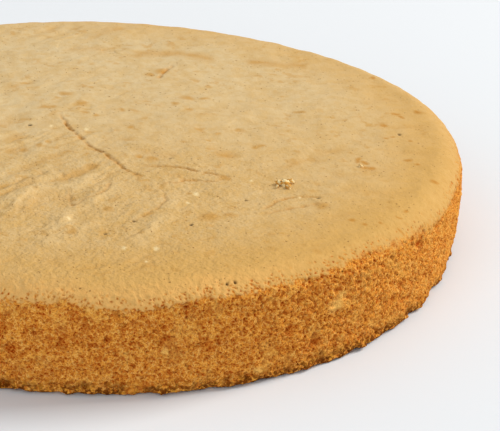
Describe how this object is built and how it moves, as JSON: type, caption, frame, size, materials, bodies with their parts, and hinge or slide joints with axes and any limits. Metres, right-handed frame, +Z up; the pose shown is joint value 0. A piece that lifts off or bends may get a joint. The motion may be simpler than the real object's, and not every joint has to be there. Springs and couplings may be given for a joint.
{
  "type": "sponge cake",
  "caption": "Round plain sponge cake, low and flat, with a creased baked skin and an open, pitted crumb wall.",
  "frame": {"origin": "on the table, under the middle of the cake's outline", "axes": "+Z up from the table, -Y towards the side that the picture shows"},
  "size_m": [0.261, 0.2614, 0.0376],
  "materials": {
    "sponge": "matt baked skin on top, open crumb round the wall"
  },
  "bodies": {
    "root": {"sponge_cake": "sponge"}
  },
  "joints": []
}
